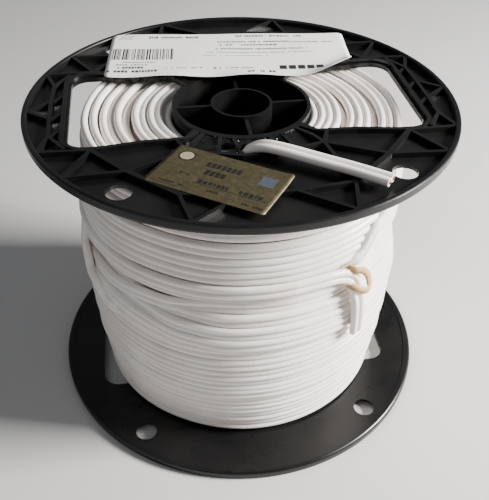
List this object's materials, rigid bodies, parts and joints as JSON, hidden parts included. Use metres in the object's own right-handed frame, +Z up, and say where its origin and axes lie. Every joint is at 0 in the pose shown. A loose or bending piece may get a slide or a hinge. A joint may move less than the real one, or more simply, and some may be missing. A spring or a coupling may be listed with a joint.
{
  "type": "wire spool",
  "caption": "Moulded plastic spool with a ribbed flange at each end of a hollow core, full of flat two-core cord, its outer end tied down",
  "frame": {"origin": "centre of the lower flange's outer face, on the arbor's axis", "axes": "+Z runs up the arbor; the flanges' large windows open towards +X and -X; the foil label and the cord's inner end lie towards -Y"},
  "size_m": [0.2032, 0.2032, 0.1616],
  "materials": {
    "spool_plastic": "black moulded polystyrene, satin with a soft gloss",
    "core_plastic": "black moulded polystyrene, satin with a soft gloss",
    "cord_jacket": "soft white PVC",
    "copper": null,
    "tie": "tan paper-and-wire tie",
    "paper": "coated white label paper with plain printed bars",
    "foil": "dull gold foil-faced label with plain printed bars"
  },
  "bodies": {
    "root": {"upper_flange": "spool_plastic", "lower_flange": "spool_plastic", "core_barrel": "core_plastic", "arbor_tube": "core_plastic", "core_webs": "core_plastic", "cord_winding": "cord_jacket", "inner_cord_end": "cord_jacket", "outer_cord_end": "cord_jacket", "inner_conductors": "copper", "outer_conductors": "copper", "tail_tie": "tie", "paper_label": "paper", "foil_label": "foil"}
  },
  "joints": []
}
